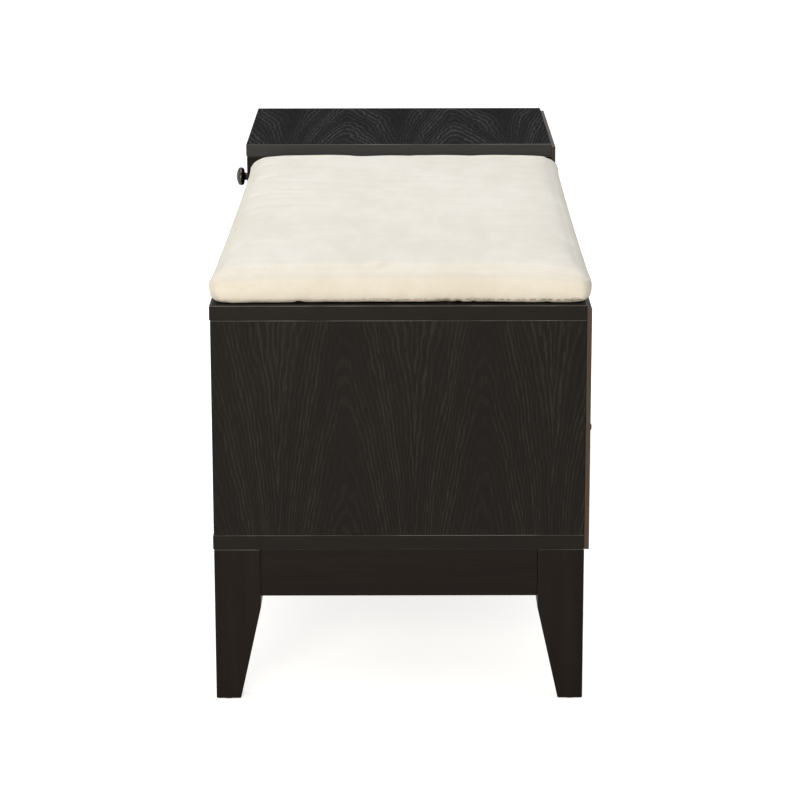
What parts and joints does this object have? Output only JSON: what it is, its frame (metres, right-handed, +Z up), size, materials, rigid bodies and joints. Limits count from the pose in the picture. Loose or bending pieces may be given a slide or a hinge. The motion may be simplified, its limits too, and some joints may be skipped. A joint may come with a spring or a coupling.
{
  "type": "storage bench",
  "caption": "Storage bench with a loose seat cushion, doors under the seat and a raised cabinet with a drawer at one end, on tapered legs.",
  "frame": {"origin": "on the floor at the middle of the bench's whole outline, knobs and screw heads included", "axes": "+X along the bench to the right of someone facing its front, +Y from front to back, +Z up"},
  "size_m": [1.1, 0.43, 0.492],
  "materials": {
    "espresso_veneer": "satin espresso stain over open-grained veneer",
    "espresso_solid": "satin espresso lacquer over solid wood",
    "back_board": "thin dark-faced hardboard with a raw brown edge",
    "plain_wood": "unfinished light wood",
    "drawer_wood": "clear-lacquered light wood",
    "knob_bronze": "dark bronze, satin",
    "zinc_steel": "zinc-plated steel",
    "black_steel": "blackened steel",
    "white_nylon": "moulded nylon",
    "brown_plastic": "moulded plastic",
    "cream_microfibre": "brushed cream microfibre",
    "cushion_foam": "polyurethane foam"
  },
  "bodies": {
    "carcass": {"apron_front": "espresso_solid", "apron_left": "espresso_solid", "apron_rear": "espresso_solid", "apron_right": "espresso_solid", "back_panel": "back_board", "back_panel_screws": "black_steel", "base_panel": "espresso_veneer", "cabinet_partition": "espresso_veneer", "cabinet_side": "espresso_veneer", "cabinet_top": "espresso_veneer", "carcass_dowels": "plain_wood", "centre_partition": "espresso_veneer", "corner_blocks": "plain_wood", "cross_rail": "plain_wood", "cushion_core": "cushion_foam", "cushion_cover": "cream_microfibre", "door_bushes": "white_nylon", "drawer_shelf": "espresso_veneer", "end_panel": "espresso_veneer", "floor_glides": "brown_plastic", "frame_screws": "zinc_steel", "leg_bolts": "zinc_steel", "leg_front_left": "espresso_solid", "leg_front_right": "espresso_solid", "leg_rear_left": "espresso_solid", "leg_rear_right": "espresso_solid", "magnetic_catches": "brown_plastic", "seat_top": "espresso_veneer", "slide_outer_left": "zinc_steel", "slide_outer_right": "zinc_steel", "slide_outer_screws": "zinc_steel"},
    "drawer": {"drawer_back": "drawer_wood", "drawer_bottom": "drawer_wood", "drawer_dowels": "plain_wood", "drawer_front": "espresso_veneer", "drawer_knob": "knob_bronze", "drawer_knob_screw": "zinc_steel", "drawer_side_left": "drawer_wood", "drawer_side_right": "drawer_wood", "slide_inner_left": "zinc_steel", "slide_inner_right": "zinc_steel", "slide_inner_screws": "zinc_steel"},
    "seat_door_right": {"seat_door_right": "espresso_veneer", "seat_door_right_knob": "knob_bronze", "seat_door_right_knob_screw": "zinc_steel", "seat_door_right_pins": "zinc_steel", "seat_door_right_strike": "zinc_steel"},
    "seat_door_left": {"seat_door_left": "espresso_veneer", "seat_door_left_knob": "knob_bronze", "seat_door_left_knob_screw": "zinc_steel", "seat_door_left_pins": "zinc_steel", "seat_door_left_strike": "zinc_steel"},
    "cabinet_door": {"cabinet_door": "espresso_veneer", "cabinet_door_knob": "knob_bronze", "cabinet_door_knob_screw": "zinc_steel", "cabinet_door_pins": "zinc_steel", "cabinet_door_strike": "zinc_steel"}
  },
  "joints": [
    {"name": "drawer_slide", "type": "slide", "parent": "carcass", "child": "drawer", "axis": [0, -1, 0], "range_m": [0, 0.24]},
    {"name": "seat_door_right_hinge", "type": "hinge", "parent": "carcass", "child": "seat_door_right", "pos_m": [0.5245, -0.1835, 0.187], "axis": [0, 0, 1], "range_deg": [0, 90]},
    {"name": "seat_door_left_hinge", "type": "hinge", "parent": "carcass", "child": "seat_door_left", "pos_m": [-0.2095, -0.1835, 0.187], "axis": [0, 0, -1], "range_deg": [0, 90]},
    {"name": "cabinet_door_hinge", "type": "hinge", "parent": "carcass", "child": "cabinet_door", "pos_m": [-0.5245, -0.1835, 0.187], "axis": [0, 0, -1], "range_deg": [0, 90]}
  ]
}
